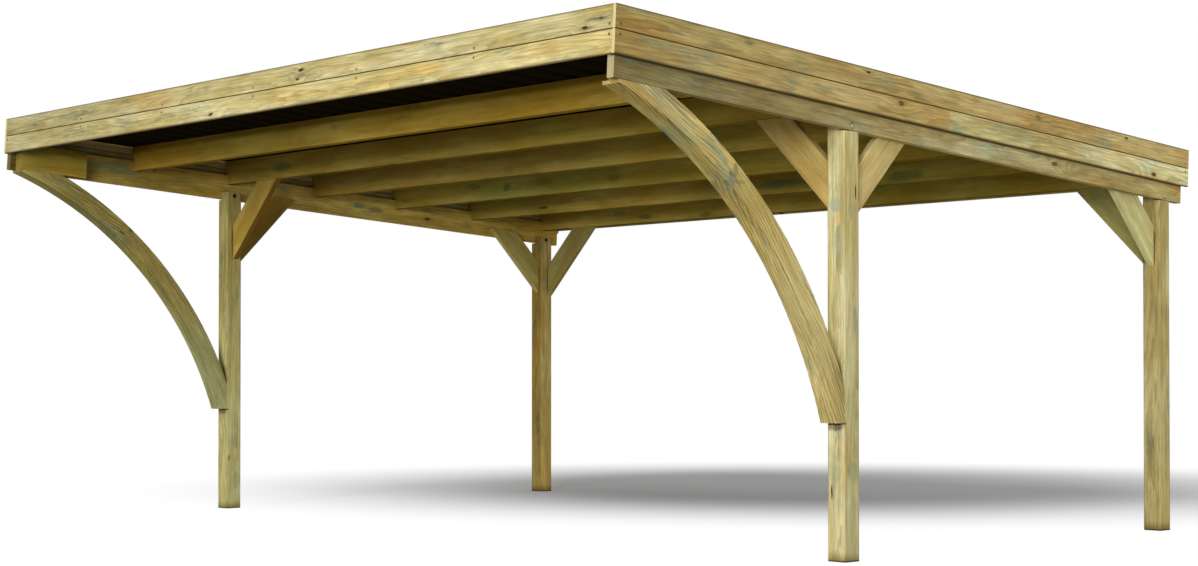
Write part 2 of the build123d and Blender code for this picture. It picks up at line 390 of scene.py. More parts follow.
# Side beams
# A deep planed timber runs from front to rear on the outer face of the posts, on each side.
# It lies in the notch of each post top, and a bolt goes through it and the tongue behind it.
fall = math.radians(3.43)
roof_origin = Vector((0.0, -0.00712, 2.345109))
beam_inner = 2.947
beam_outer = 2.992
beam_middle = (beam_inner + beam_outer) / 2
pith_drop = 0.02


def slope_along(y, z):
    return (y - roof_origin.y) * math.cos(fall) - (z - roof_origin.z) * math.sin(fall)


def slope_height(y, z):
    return (y - roof_origin.y) * math.sin(fall) + (z - roof_origin.z) * math.cos(fall)


def beam_lay(x, y, z):
    side = x.math("SIGN", x)
    height = slope_height(y, z)
    return slope_along(y, z), height + pith_drop, x - side * beam_middle, side * 2.1, height


def beam_tones_and_shade(body, along, height, split, mottle):
    left = on_left(split)
    outward = split.out(0).math("ABSOLUTE", split.out(0))
    inside = 1.0 - ramp(outward, beam_inner + 0.003, beam_outer - 0.006)
    # painted shade: the front part of the beam darker, where the fascia shades it
    body = tinted(body, (0.50, 0.49, 0.41), 1.0 - ramp(along, -2.9, -0.2))
    body = tinted(body, (0.99, 0.94, 0.76), ramp(along, 0.4, 2.4))
    body = tinted(body, (1.45, 1.25, 0.62), inside)
    # painted shade on the inner face of the left beam ahead of the packing block
    shaded_ahead_of_block = 1.0 - ramp(along, -2.508, -2.500)
    body = tinted(body, (0.34, 0.36, 0.46), inside * left * shaded_ahead_of_block)
    sawn = 1.0 - ramp(along, -2.5448, -2.5442)
    body = mixed(body, colour(186, 174, 132), sawn * (1.0 - left) * 0.8)
    body = mixed(body, colour(104, 96, 62), sawn * left * 0.85)
    # painted shadow of the fascia along the top of the beam's outer face
    shade_under_fascia = ramp(height + (mottle - 0.5) * 0.010, -0.013, -0.002) * (1.0 - inside)
    return mixed(body, colour(50, 40, 18), shade_under_fascia * 0.85)


beam_teal = colour(84, 122, 98)
beam_marks = [
    ((-beam_inner, -1.82, 2.470), (0.02, 0.26, 0.030), 0.55, beam_teal),
    ((-beam_inner, -1.66, 2.430), (0.02, 0.20, 0.022), 0.55, beam_teal),
    ((-beam_inner, 0.40, 2.310), (0.02, 0.07, 0.026), 0.60, beam_teal),
    ((-beam_inner, 0.56, 2.280), (0.02, 0.09, 0.024), 0.55, beam_teal),
]
# painted shade round each bolt head on the beam
for middle, bolt_height in zip(post_rows, bolt_heights):
    for outer in (-beam_outer, beam_outer):
        beam_marks.append(((outer, middle, bolt_height), (0.012, 0.022, 0.022), 0.7, contact_shade))
beam_pine = treated_pine(
    "beam_pine",
    beam_lay,
    {
        **pine,
        "pale": colour(194, 182, 132),
        "tan": colour(170, 152, 100),
        "late": colour(122, 108, 64),
        "warm": colour(184, 154, 90),
        "pith": (-0.02, 0.07),
        "mottle": 1.1,
        "grain": 0.95,
        "streaks": 0.5,
        "knots": ((1.092, -0.042, 0.020),),
        "stains": (
            (0.41, -0.05, 0.25, 0.06, 0.8),
            (0.64, -0.06, 0.12, 0.04, 0.7),
            (-1.9, -0.03, 0.5, 0.07, 0.6),
        ),
        "marks": beam_marks,
        "extra": beam_tones_and_shade,
    },
)
dress(beam_pine, "left_beam", "right_beam")

# Bolts
# One coach bolt of zinc-plated steel goes through each beam and the tongue of the post behind it.
# Its domed head lies on the outer face, and a washer and a nut sit on the inner face of the tongue.


def raised(disc, steps):
    """Raises a disc into a head: each step says how far up, and how much narrower it ends."""
    base = disc.node("GeometryNodeFlipFaces", None, {"Mesh": disc})
    body = disc
    top = True
    for rise, width in steps:
        sockets = {"Mesh": body, "Selection": top, "Offset Scale": rise, "Individual": False}
        pushed = body.node("GeometryNodeExtrudeMesh", None, sockets)
        top = pushed.out("Top")
        sockets = {"Geometry": pushed, "Selection": top, "Scale": width}
        body = pushed.node("GeometryNodeScaleElements", None, sockets)
    whole = disc.node("GeometryNodeJoinGeometry", None, {"Geometry": [base, body]})
    return disc.node("GeometryNodeMergeByDistance", None, {"Geometry": whole, "Distance": 0.00001})


def round_disc(start, sides, radius):
    sockets = {"Vertices": sides, "Radius": radius}
    return start.node("GeometryNodeMeshCircle", {"fill_type": "NGON"}, sockets)


def fixings(name, places, sizes, shape, material):
    """Sets one shape on every place, turned the way that the place faces, as a single mesh."""
    tree = bpy.data.node_groups.new(name, "GeometryNodeTree")
    tree.interface.new_socket("Points", in_out="INPUT", socket_type="NodeSocketGeometry")
    inputs = {}
    for label in sizes:
        entry = tree.interface.new_socket(label, in_out="INPUT", socket_type="NodeSocketFloat")
        inputs[label] = entry.identifier
    tree.interface.new_socket("Fixings", in_out="OUTPUT", socket_type="NodeSocketGeometry")
    points = Socket(tree).node("NodeGroupInput", out="Points")
    settings = {"data_type": "FLOAT_VECTOR"}
    facing = points.node("GeometryNodeInputNamedAttribute", settings, {"Name": "facing"})
    aligned = points.node("FunctionNodeAlignRotationToVector", {"axis": "Z"}, {"Vector": facing})
    chance = {2: 0.0, 3: 2.0 * math.pi, "Seed": 11}
    angle = points.node("FunctionNodeRandomValue", {"data_type": "FLOAT"}, chance, out=1)
    spin = points.node("FunctionNodeAxisAngleToRotation", None, {"Axis": (0.0, 0.0, 1.0), "Angle": angle})
    sockets = {"Rotation": aligned, "Rotate By": spin}
    turned = points.node("FunctionNodeRotateRotation", {"rotation_space": "LOCAL"}, sockets)
    sockets = {"Points": points, "Instance": shape(points), "Rotation": turned}
    placed = points.node("GeometryNodeInstanceOnPoints", None, sockets)
    solid = points.node("GeometryNodeRealizeInstances", None, {"Geometry": placed})
    finished = points.node("GeometryNodeSetMaterial", None, {"Geometry": solid, "Material": material})
    points.node("NodeGroupOutput", None, {"Fixings": finished})

    mesh = bpy.data.meshes.new(name)
    mesh.from_pydata([place for place, way in places], [], [])
    ways = mesh.attributes.new("facing", "FLOAT_VECTOR", "POINT")
    for row, (place, way) in zip(ways.data, places):
        row.vector = way
    piece = bpy.data.objects.new(name, mesh)
    bpy.context.scene.collection.objects.link(piece)
    maker = piece.modifiers.new(name, "NODES")
    maker.node_group = tree
    for label, size in sizes.items():
        maker[inputs[label]] = size
    made = bpy.data.meshes.new_from_object(piece.evaluated_get(bpy.context.evaluated_depsgraph_get()))
    piece.modifiers.clear()
    piece.data = made
    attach(piece, "root")


def plated_steel(name, clean, dull, dullness, metal):
    material, shader, place = new_finish(name)
    bloom = cloud(place, (260.0, 260.0, 260.0), 3.0)
    mixed(clean, dull, ramp(bloom, 0.42, 0.62)).into(shader, "Base Color")
    rough = dullness + bloom * 0.25
    rough.into(shader, "Roughness")
    bumped(shader, bloom, 0.3, 0.0004)
    shader.inputs["Metallic"].default_value = metal
    return material


def domed_head(start):
    disc = round_disc(start, 16, start.out("Head radius"))
    rise = start.out("Head height")
    steps = ((rise * 0.18, 0.985), (rise * 0.34, 0.86), (rise * 0.28, 0.72), (rise * 0.20, 0.42))
    return raised(disc, steps)


def washer_and_nut(start):
    plate = round_disc(start, 20, start.out("Washer radius"))
    washer = raised(plate, ((start.out("Washer height"), 0.97),))
    nut_rise = start.out("Washer height") + start.out("Nut height")
    flats = round_disc(start, 6, start.out("Nut radius"))
    nut = raised(flats, ((nut_rise * 0.9, 1.0), (nut_rise * 0.1, 0.86)))
    thread = round_disc(start, 10, start.out("Thread radius"))
    end = raised(thread, ((nut_rise * 1.3, 1.0), (0.001, 0.8)))
    return start.node("GeometryNodeJoinGeometry", None, {"Geometry": [washer, nut, end]})


def bolt_places(out, way):
    """Where the four bolts come out at this distance from the middle, and the way they face."""
    places = []
    for side in (-1.0, 1.0):
        for middle, height in zip(post_rows, bolt_heights):
            places.append(((side * out, middle, height), (side * way, 0.0, 0.0)))
    return places


bolt_steel = plated_steel("bolt_steel", colour(186, 172, 132), colour(140, 124, 88), 0.36, 0.5)
fixings(
    "bolt_heads",
    bolt_places(beam_outer, 1.0),
    {"Head radius": 0.0125, "Head height": 0.0065},
    domed_head,
    bolt_steel,
)
# The nuts and washers are near black: painted shade, as if they sat in a bored hole.
nut_steel_in_shade = plated_steel("nut_steel_in_shade", colour(58, 52, 44), colour(36, 30, 22), 0.55, 0.85)
fixings(
    "bolt_nuts",
    bolt_places(post_inner, -1.0),
    {
        "Washer radius": 0.015,
        "Washer height": 0.002,
        "Nut radius": 0.0098,
        "Nut height": 0.0065,
        "Thread radius": 0.005,
    },
    washer_and_nut,
    nut_steel_in_shade,
)

# Packing blocks
# A short offcut of the beam's pine is fixed on the inner face of each beam at its front end,
# where the nose of the arch brace comes up under it.


def block_end(body, along, height, split, mottle):
    body = tinted(body, (0.82, 0.94, 1.35), 1.0 - ramp(along, -2.5, -2.15))
    body = tinted(body, (0.72, 0.74, 0.90), 1.0 - ramp(along, -2.5026, -2.5018))
    return tinted(body, (0.55, 0.50, 0.42), ramp(height, 0.0, 0.06))


packing_pine = treated_pine(
    "packing_pine",
    beam_lay,
    {
        **pine,
        "pale": colour(184, 162, 70),
        "tan": colour(166, 138, 50),
        "late": colour(130, 106, 36),
        "warm": colour(178, 138, 50),
        "stain": colour(112, 116, 60),
        "extra": block_end,
        "pith": (0.06, 0.05),
        "figure": 0.35,
        "sheen": 0.0,
    },
)
dress(packing_pine, "left_packing_block", "right_packing_block")

# Arch braces
# A curved brace carries the front overhang on each side, sawn from two lengths of pine, end to end.
# Its foot stands against the front of the post, and its nose is cut off under the front of the beam.
arch_centre = Vector((0.0, -3.392, -0.081))
arch_radius = 2.663
arch_joint = 0.90
arch_low_middle = 0.60
arch_high_middle = 1.04
curved_share = 0.4


def arch_lay(x, y, z):
    side = x.math("SIGN", x)
    ahead = y - arch_centre.y
    above = z - arch_centre.z
    turn = above.math("ARCTAN2", above, ahead)
    reach = (ahead * ahead + above * above) ** 0.5 - arch_radius
    upper = turn.math("GREATER_THAN", turn, arch_joint)
    middle = arch_low_middle + upper * (arch_high_middle - arch_low_middle)
    straight = ahead * middle.math("COSINE", middle) + above * middle.math("SINE", middle) - arch_radius
    across = reach * curved_share + straight * (1.0 - curved_share)
    number = side * 1.7 + upper * 0.9
    return turn * -arch_radius, across, x - side * post_out, number, reach


def band(value, rise, drop):
    return ramp(value, *rise) * (1.0 - ramp(value, *drop))


def arch_tones_and_shade(body, along, reach, split, mottle):
    left = on_left(split)
    under = 1.0 - ramp(reach, -0.0605, -0.0590)
    towards_nose = 1.0 - ramp(along, -3.0, -1.6)
    body = tinted(body, (0.80, 0.81, 0.64), left)
    body = tinted(body, (1.06, 1.26, 1.90), left * ramp(along, -1.9, -1.2))
    upper_length = band(along, (-2.95, -2.6), (-2.1, -1.6))
    body = tinted(body, (1.09, 1.06, 0.96), (1.0 - left) * upper_length)
    # painted shade on the end of the left brace's nose
    nose = 1.0 - ramp(split.out(1), -2.5095, -2.5070)
    body = tinted(body, (0.50, 0.48, 0.44), left * nose)
    # painted shade on the underside, along the right brace towards its nose and all along the left one
    body = tinted(body, (0.86, 0.86, 0.74), under * towards_nose * (1.0 - left))
    body = tinted(body, (0.62, 0.64, 0.56), under * left)
    # painted shade along the edge between the underside and the outer face
    outward = split.out(0).math("ABSOLUTE", split.out(0)) - post_out
    shaded_arris = reach.math("ABSOLUTE", reach) + outward.math("ABSOLUTE", outward)
    shaded_arris = ramp(shaded_arris + (mottle - 0.5) * 0.006, 0.1135, 0.1205)
    return tinted(body, (0.55, 0.52, 0.46), shaded_arris * (0.8 - towards_nose * 0.65))


arch_teal = colour(112, 136, 120)
arch_marks = (
    ((post_outer, -1.739, 1.952), (0.02, 0.030, 0.040), 0.65, arch_teal),
    ((post_outer, -1.705, 2.010), (0.02, 0.022, 0.045), 0.50, colour(108, 116, 84)),
    ((post_outer, -1.680, 1.950), (0.02, 0.060, 0.012), 0.45, colour(116, 112, 72)),
    ((2.950, -1.830, 1.905), (0.04, 0.050, 0.050), 0.50, arch_teal),
    ((2.885, -2.090, 2.172), (0.03, 0.060, 0.060), 0.50, arch_teal),
)
arch_pine = treated_pine(
    "arch_pine",
    arch_lay,
    {
        **pine,
        "pale": colour(213, 196, 132),
        "tan": colour(194, 173, 107),
        "late": colour(112, 96, 50),
        "stain": colour(104, 130, 118),
        "knot": colour(96, 98, 62),
        "halo": colour(140, 124, 70),
        "knots": ((-2.385, -0.012, 0.013),),
        "pith": (0.05, 0.11),
        "ring": 0.013,
        "figure": 0.85,
        "streaks": 0.35,
        "mottle": 0.7,
        "grain": 0.95,
        "marks": arch_marks,
        "stains": (
            (-2.385, -0.037, 0.16, 0.05, 1.0),
            (-2.984, 0.01, 0.22, 0.05, 0.7),
            (-2.75, -0.05, 0.14, 0.03, 0.8),
        ),
        "extra": arch_tones_and_shade,
    },
)
dress(arch_pine, "left_arch_brace", "right_arch_brace")

# Rafters
# Six deep planed pine timbers stand on edge across the carport at even steps, notched over the beams.
# They are golden brown in the shade of the roof and carry the steel sheets.
rafter_first = -1.572
rafter_step = 0.783
rafter_gaps = ((-1.3, -1.1), (-0.5, -0.4), (0.3, 0.4), (1.1, 1.2), (1.9, 2.0))


def rafter_lay(x, y, z):
    number = (y - rafter_first) / rafter_step
    number = number.math("ROUND", number)
    height = slope_height(y, z)
    return x, height + pith_drop, y - rafter_first - number * rafter_step, number * 1.37, height


golden = {
    **pine,
    "pale": colour(206, 185, 90),
    "tan": colour(186, 161, 66),
    "late": colour(153, 129, 49),
    "warm": colour(200, 166, 63),
    "stain": colour(102, 118, 70),
    "pith": (-0.03, 0.06),
    "figure": 0.3,
    "streaks": 0.3,
    "mottle": 0.35,
    "grain": 0.4,
    "stain_from": 0.56,
    "stain_depth": 0.45,
    "sheen": 0.0,
}


def rafter_tones_light_and_shade(body, along, height, split, mottle):
    row = split.out(1)
    first = 1.0 - ramp(row, *rafter_gaps[0])
    second, third, fourth, fifth = (band(row, *gaps) for gaps in zip(rafter_gaps, rafter_gaps[1:]))
    # rafter 1 is warmer on the left, and brightened on the right as painted light where the fascia shades
    # it
    body = tinted(body, (1.14, 0.92, 0.62), first * (1.0 - ramp(along, -3.0, -1.2)))
    body = tinted(body, (1.43, 1.26, 1.06), first * ramp(along, -1.8, 0.2))
    body = tinted(body, (0.90, 0.86, 0.86), second)
    body = tinted(body, (1.02, 0.98, 1.12), third)
    left_middle = band(along, (-2.2, -1.7), (-0.8, -0.2))
    body = tinted(body, (0.84, 0.99, 1.10), fourth * left_middle)
    body = tinted(body, (1.22, 1.18, 1.22), fifth * left_middle)
    body = tinted(body, (0.86, 0.86, 0.84), fifth * (1.0 - left_middle))
    body = tinted(body, (1.04, 1.07, 0.94), ramp(along, -0.4, 0.8) * (1.0 - first))
    # painted shade: every rafter but the first darker towards its top, where the roof and the rafter in
    # front shade it
    shade = ramp(height, 0.03, 0.16) * (1.0 - first) * (1.0 - fourth * 0.6)
    body = tinted(body, (0.62, 0.58, 0.52), shade)
    # painted shade on the top of rafter 1 and along the bottom edge of every rafter
    body = tinted(body, (0.38, 0.35, 0.26), first * ramp(height, 0.112, 0.150))
    return tinted(body, (0.42, 0.38, 0.32), 1.0 - ramp(height, 0.001, 0.006))


rafter_teal = colour(62, 104, 70)
rafter_dark = colour(106, 98, 38)
rafter_rust = colour(206, 126, 50)
rafter_knot = colour(84, 44, 16)
rafter_marks = (
    ((-2.255, -0.795, 2.470), (0.16, 0.03, 0.050), 0.60, rafter_teal),
    ((-2.60, -0.795, 2.440), (0.28, 0.03, 0.080), 0.30, rafter_teal),
    ((-1.705, 2.337, 2.250), (0.10, 0.03, 0.032), 0.60, rafter_teal),
    ((-1.041, 2.337, 2.230), (0.12, 0.03, 0.030), 0.55, rafter_teal),
    ((0.434, 1.553, 2.320), (0.30, 0.03, 0.050), 0.60, rafter_teal),
    ((1.523, 1.553, 2.300), (0.22, 0.03, 0.050), 0.55, rafter_teal),
    ((-2.002, 0.755, 2.414), (0.13, 0.03, 0.030), 0.45, rafter_teal),
    ((-1.596, 0.755, 2.387), (0.05, 0.03, 0.045), 0.55, rafter_teal),
    ((-1.454, 0.755, 2.391), (0.04, 0.03, 0.025), 0.45, rafter_rust),
    ((-1.184, 0.755, 2.402), (0.12, 0.03, 0.035), 0.40, rafter_dark),
    ((-0.449, 0.755, 2.373), (0.07, 0.03, 0.040), 0.45, rafter_dark),
    ((-2.056, 1.537, 2.302), (0.07, 0.03, 0.015), 0.75, rafter_knot),
    ((-1.807, 1.537, 2.345), (0.13, 0.03, 0.040), 0.35, rafter_dark),
    ((-2.006, 2.320, 2.292), (0.09, 0.03, 0.030), 0.40, rafter_teal),
    ((-1.826, 2.320, 2.282), (0.09, 0.03, 0.022), 0.35, rafter_rust),
)
rafter_looks = {**golden, "marks": rafter_marks, "extra": rafter_tones_light_and_shade}
rafter_pine = treated_pine("rafter_pine", rafter_lay, rafter_looks)
dress(rafter_pine, *(f"rafter_{number}" for number in range(1, 7)))

# Front and rear rails
# A thinner timber closes the roof frame behind the fascia, at the front and at the rear.
# It is hidden by the fascia boards from outside, and nailed to the ends of the frame.
rail_looks = {
    **pine,
    "pale": colour(190, 174, 118),
    "tan": colour(170, 150, 94),
    "late": colour(128, 110, 62),
    "warm": colour(182, 152, 88),
    "pith": (0.05, 0.08),
}
rail_pine = treated_pine("rail_pine", rafter_lay, rail_looks)
dress(rail_pine, "front_rail", "rear_rail")

# Knee braces
# Short straight braces with cut ends stiffen each post, one across to the rafter above
# and one along to the side beam. They are the same planed pine as the rafters.
brace_slant = math.sqrt(0.5)
cross_line = 4.78
cross_row = -0.80
cross_row_step = 3.10
side_out = 2.93


def cross_lay(x, y, z):
    side = x.math("SIGN", x)
    rear = in_rear_row(y)
    outward = x * side
    across = (z + outward - cross_line) * brace_slant
    through = y - cross_row - rear * cross_row_step
    return (z - outward) * brace_slant, across, through, side * 1.1 + rear * 0.7, across


def side_lay(x, y, z):
    side = x.math("SIGN", x)
    rear = in_rear_row(y)
    lean = 1.0 - rear * 2.0
    across = (z - y * lean) * brace_slant
    return (z + y * lean) * brace_slant, across, x - side * side_out, side * 1.9 + rear * 0.9, across


def cross_tones_and_shade(body, along, across, split, mottle):
    left = on_left(split)
    rear = in_rear_row(split.out(1))
    # painted shade: the front left brace is darker and warmer, and its underside darker still
    body = tinted(body, (0.86, 0.81, 0.53), left * (1.0 - rear))
    shaded_underside = 1.0 - ramp(across, -0.0505, -0.0485)
    body = tinted(body, (0.43, 0.36, 0.21), shaded_underside * left * (1.0 - rear))
    body = tinted(body, (0.66, 0.76, 0.76), left * rear)
    return tinted(body, (1.00, 1.29, 1.52), (1.0 - left) * rear)


def side_tones_and_shade(body, along, across, split, mottle):
    left = on_left(split)
    rear = in_rear_row(split.out(1))
    # painted shade: the front left brace is darker and warmer
    body = tinted(body, (0.64, 0.48, 0.20), left * (1.0 - rear))
    body = tinted(body, (0.72, 0.70, 0.47), left * rear)
    body = tinted(body, (0.87, 0.95, 1.02), (1.0 - left) * rear)
    return tinted(body, (0.94, 0.88, 0.86), (1.0 - left) * (1.0 - rear))


brace_pine = {
    **pine,
    "pith": (0.02, 0.07),
    "figure": 0.25,
    "streaks": 0.2,
    "mottle": 0.6,
    "knot_share": 0.03,
    "stain_depth": 0.4,
}
cross_pine = treated_pine(
    "cross_brace_pine",
    cross_lay,
    {
        **brace_pine,
        "pale": colour(204, 178, 106),
        "tan": colour(188, 158, 84),
        "late": colour(150, 124, 62),
        "warm": colour(204, 166, 92),
        "extra": cross_tones_and_shade,
    },
)
side_pine = treated_pine(
    "side_brace_pine",
    side_lay,
    {
        **brace_pine,
        "pale": colour(220, 206, 142),
        "tan": colour(202, 184, 118),
        "late": colour(164, 144, 84),
        "extra": side_tones_and_shade,
    },
)
corners = [f"{end}_{side}" for end in ("front", "rear") for side in ("left", "right")]
dress(cross_pine, *(f"{corner}_cross_brace" for corner in corners))
dress(side_pine, *(f"{corner}_side_brace" for corner in corners))

# Front and rear fascia
# Two planed boards lie edge to edge over each end of the roof frame and hide the sheets.
# Each is one length of pale pine, and is nailed every metre close to the joint between the two.
roof_half_length = 2.564
board_half = 0.009
board_joint = 0.119
board_step = 0.12


def past(value, edge):
    return ramp(value, edge - 0.0005, edge + 0.0005)


def end_board_lay(x, y, z):
    height = slope_height(y, z)
    upper = height.math("GREATER_THAN", height, board_joint)
    end = y.math("SIGN", y)
    through = slope_along(y, z) - end * (roof_half_length - board_half)
    return x, height - upper * board_step, through, upper * 1.9, height


nail_from_joint = 0.025
nail_first = -2.97
nail_step = 0.99
nail_count = 7


def joint_dirt_and_edge_shade(body, along, height, rows):
    """Dirt in the joint, painted shade on the outer edges of the two boards, and a rusty ring round each
    nail.
    """
    gap = height - board_joint
    gap = gap.math("ABSOLUTE", gap)
    body = mixed(body, colour(80, 58, 14), (1.0 - ramp(gap, 0.001, 0.0055)) * 0.9)
    # painted shade along the rounded outer edges of the two boards
    body = mixed(body, colour(80, 60, 26), ramp(gap, board_joint - 0.013, board_joint - 0.001) * 0.75)
    away = length_of(joined(rows(along), gap - nail_from_joint, 0.0))
    return mixed(body, colour(92, 68, 26), (1.0 - ramp(away, 0.004, 0.011)) * 0.8)


def end_rows(along):
    step = (along - nail_first) / nail_step
    return (step - step.math("ROUND", step)) * nail_step


warm_patches = (
    (0.22, 0.090, 0.24, 0.040),
    (0.34, 0.050, 0.20, 0.03),
    (2.52, 0.070, 0.22, 0.045),
    (2.92, 0.222, 0.16, 0.018),
)
knot_crack = (2.88, 0.179, 0.10, 0.0035)


def end_dirt_and_shade(body, along, height, split, mottle):
    body = tinted(body, (0.90, 0.90, 0.86))
    body = tinted(body, (0.72, 0.73, 0.74), 1.0 - ramp(along, -3.0, 0.6))
    upper = past(height, board_joint)
    body = tinted(body, (0.92, 0.92, 0.94), upper)
    body = tinted(body, (0.99, 0.93, 0.80), (1.0 - upper) * ramp(along, 1.4, 3.0))
    face = joined(along, height, 0.0)
    for patch in warm_patches:
        near = face_spot(face, *patch) + (mottle - 0.5) * 2.4
        body = tinted(body, (0.88, 0.70, 0.48), (1.0 - ramp(near, 0.2, 1.2)) * 0.65)
    near = face_spot(face, *knot_crack) + (mottle - 0.5) * 1.2
    body = mixed(body, colour(84, 62, 22), (1.0 - ramp(near, 0.4, 1.1)) * 0.7)
    return joint_dirt_and_edge_shade(body, along, height, end_rows)


fascia_looks = {
    **pine,
    "pale": colour(224, 213, 163),
    "tan": colour(209, 194, 131),
    "late": colour(166, 146, 92),
    "warm": colour(214, 180, 104),
    "stain": colour(138, 146, 114),
    "knot": colour(50, 36, 12),
    "pith": (0.02, 0.10),
    "ring": 0.012,
    "figure": 0.7,
    "mottle": 0.7,
    "grain": 1.15,
    "knot_share": 0.04,
    "stain_from": 0.56,
    "stain_depth": 0.85,
}
end_board_pine = treated_pine(
    "end_board_pine",
    end_board_lay,
    {
        **fascia_looks,
        "knots": (
            (0.469, 0.196, 0.014),
            (0.440, 0.147, 0.011),
            (-0.44, 0.032, 0.017),
            (2.80, 0.144, 0.011),
            (2.911, 0.178, 0.007),
        ),
        "stains": (
            (-1.99, 0.18, 0.35, 0.05, 0.8),
            (-0.61, 0.196, 0.25, 0.04, 0.7),
            (0.47, 0.175, 0.22, 0.05, 1.0),
            (-2.10, 0.066, 0.35, 0.05, 0.9),
            (-1.41, 0.061, 0.18, 0.04, 0.8),
            (-0.63, 0.085, 0.22, 0.04, 0.8),
            (2.41, 0.15, 0.18, 0.04, 0.6),
            (2.26, 0.095, 0.12, 0.03, 0.4),
            (2.35, 0.03, 0.10, 0.03, 0.4),
        ),
        "extra": end_dirt_and_shade,
    },
)
for end in ("front", "rear"):
    dress(end_board_pine, f"{end}_lower_fascia", f"{end}_upper_fascia")

# Side fascia
# The same two boards run down each side over the beam. The upper board is one length, and the
# lower is butted from two lengths, of which the rear one is paler and more stained.
roof_half_width = 3.010
side_joint = 0.031


def side_board_lay(x, y, z):
    height = slope_height(y, z)
    along = slope_along(y, z)
    upper = height.math("GREATER_THAN", height, board_joint)
    second = along.math("GREATER_THAN", along, side_joint) * (1.0 - upper)
    side = x.math("SIGN", x)
    through = x * side - (roof_half_width - board_half)
    return along, height - upper * board_step, through, upper * 2.3 + second * 1.1 + side * 0.4, height


nail_from_end = 0.035


def side_rows(along):
    return along.math("ABSOLUTE", along) - (roof_half_length - nail_from_end)


old_knots = ((-1.63, 0.206, 0.050, 0.022), (-1.67, 0.226, 0.050, 0.008), (0.881, 0.206, 0.045, 0.020))


def paler_length(body, along, height, split, mottle):
    lower = 1.0 - past(height, board_joint)
    body = tinted(body, (1.12, 1.24, 1.34), lower * past(along, side_joint))
    body = tinted(body, (0.90, 0.90, 0.86), 1.0 - ramp(along, -2.6, -0.8))
    body = tinted(body, (0.90, 0.89, 0.84), (1.0 - lower) * (1.0 - ramp(along, -1.6, 0.2)))
    body = tinted(body, (1.16, 1.18, 1.20), ramp(along, 1.2, 2.4))
    body = tinted(body, (1.16, 1.24, 1.46), lower * ramp(along, 0.9, 1.9))
    face = joined(along, height, 0.0)
    for old_knot in old_knots:
        near = face_spot(face, *old_knot) + (mottle - 0.5) * 1.6
        body = mixed(body, colour(112, 108, 58), (1.0 - ramp(near, 0.3, 1.2)) * 0.65)
    body = joint_dirt_and_edge_shade(body, along, height, side_rows)
    sawn = ramp(along.math("ABSOLUTE", along), roof_half_length - 0.0006, roof_half_length - 0.0002)
    return mixed(body, colour(226, 208, 156), sawn * 0.8)


side_board_pine = treated_pine(
    "side_board_pine",
    side_board_lay,
    {
        **fascia_looks,
        "pale": colour(196, 176, 118),
        "tan": colour(182, 158, 98),
        "late": colour(142, 116, 64),
        "warm": colour(192, 154, 86),
        "mottle": 0.9,
        "knots": (
            (-0.692, 0.212, 0.012),
            (0.881, 0.207, 0.008),
            (1.828, 0.212, 0.010),
            (-0.403, 0.090, 0.018),
            (2.154, 0.028, 0.020),
        ),
        "stains": (
            (-2.30, 0.09, 0.14, 0.035, 0.8),
            (-2.03, 0.08, 0.24, 0.045, 1.0),
            (-1.32, 0.07, 0.16, 0.030, 0.8),
            (-1.00, 0.07, 0.12, 0.030, 0.6),
            (0.48, 0.08, 0.12, 0.040, 1.0),
            (0.72, 0.06, 0.26, 0.050, 0.8),
            (1.38, 0.05, 0.12, 0.035, 1.0),
            (2.05, 0.06, 0.12, 0.040, 1.0),
        ),
        "extra": paler_length,
    },
)
for side in ("left", "right"):
    dress(side_board_pine, f"{side}_lower_front_fascia", f"{side}_lower_rear_fascia")
    dress(side_board_pine, f"{side}_upper_fascia")

# Nails
# Round wire nails hold the fascia boards, in pairs beside the joint: every metre across the ends,
# and at both ends of each side. Their flat heads are driven almost flush and have begun to rust.


def on_roof(x, along, height):
    y = roof_origin.y + along * math.cos(fall) + height * math.sin(fall)
    return (x, y, roof_origin.z - along * math.sin(fall) + height * math.cos(fall))


def flat_head(start):
    disc = round_disc(start, 10, start.out("Head radius"))
    return raised(disc, ((start.out("Head height"), 0.8),))


nail_places = []
nail_rows = (board_joint - nail_from_joint, board_joint + nail_from_joint)
for end in (-1.0, 1.0):
    end_way = (0.0, end * math.cos(fall), -end * math.sin(fall))
    for row in nail_rows:
        for count in range(nail_count):
            nail_place = on_roof(nail_first + count * nail_step, end * roof_half_length, row)
            nail_places.append((nail_place, end_way))
        for side in (-1.0, 1.0):
            nail_place = on_roof(side * roof_half_width, end * (roof_half_length - nail_from_end), row)
            nail_places.append((nail_place, (side, 0.0, 0.0)))
nail_steel = plated_steel("nail_steel", colour(102, 78, 40), colour(74, 52, 22), 0.6, 0.3)
nail_sizes = {"Head radius": 0.0045, "Head height": 0.0006}
fixings("fascia_nails", nail_places, nail_sizes, flat_head, nail_steel)

# Roof sheets
# Six ribbed sheets of thin steel lie on the rafters inside the fascia, each lapping its neighbour
# by a rib. Their stove paint is near black, and rain leaves a little dust in the pans.
sheet_steel, sheet_shader, sheet_place = new_finish("sheet_steel")
dust = cloud(sheet_place, (1.3, 0.5, 1.0), 5.0)
speck = cloud(sheet_place, (160.0, 160.0, 160.0), 1.0)
sheet_facing = sheet_place.out("Normal")
sheet_up = ramp(sheet_place.node("ShaderNodeSeparateXYZ", None, {0: sheet_facing}, out=2), -0.2, 0.2)
dusty = sheet_up * (0.4 + ramp(dust, 0.5, 0.78) * 0.6)
sheet_colour = mixed(colour(33, 27, 13), colour(22, 21, 19), dusty)
sheet_colour = mixed(sheet_colour, colour(15, 14, 12), sheet_up * ramp(speck, 0.55, 0.7) * 0.5)
sheet_colour.into(sheet_shader, "Base Color")
sheet_rough = 0.42 + dust * 0.22 + speck * 0.06
sheet_rough.into(sheet_shader, "Roughness")
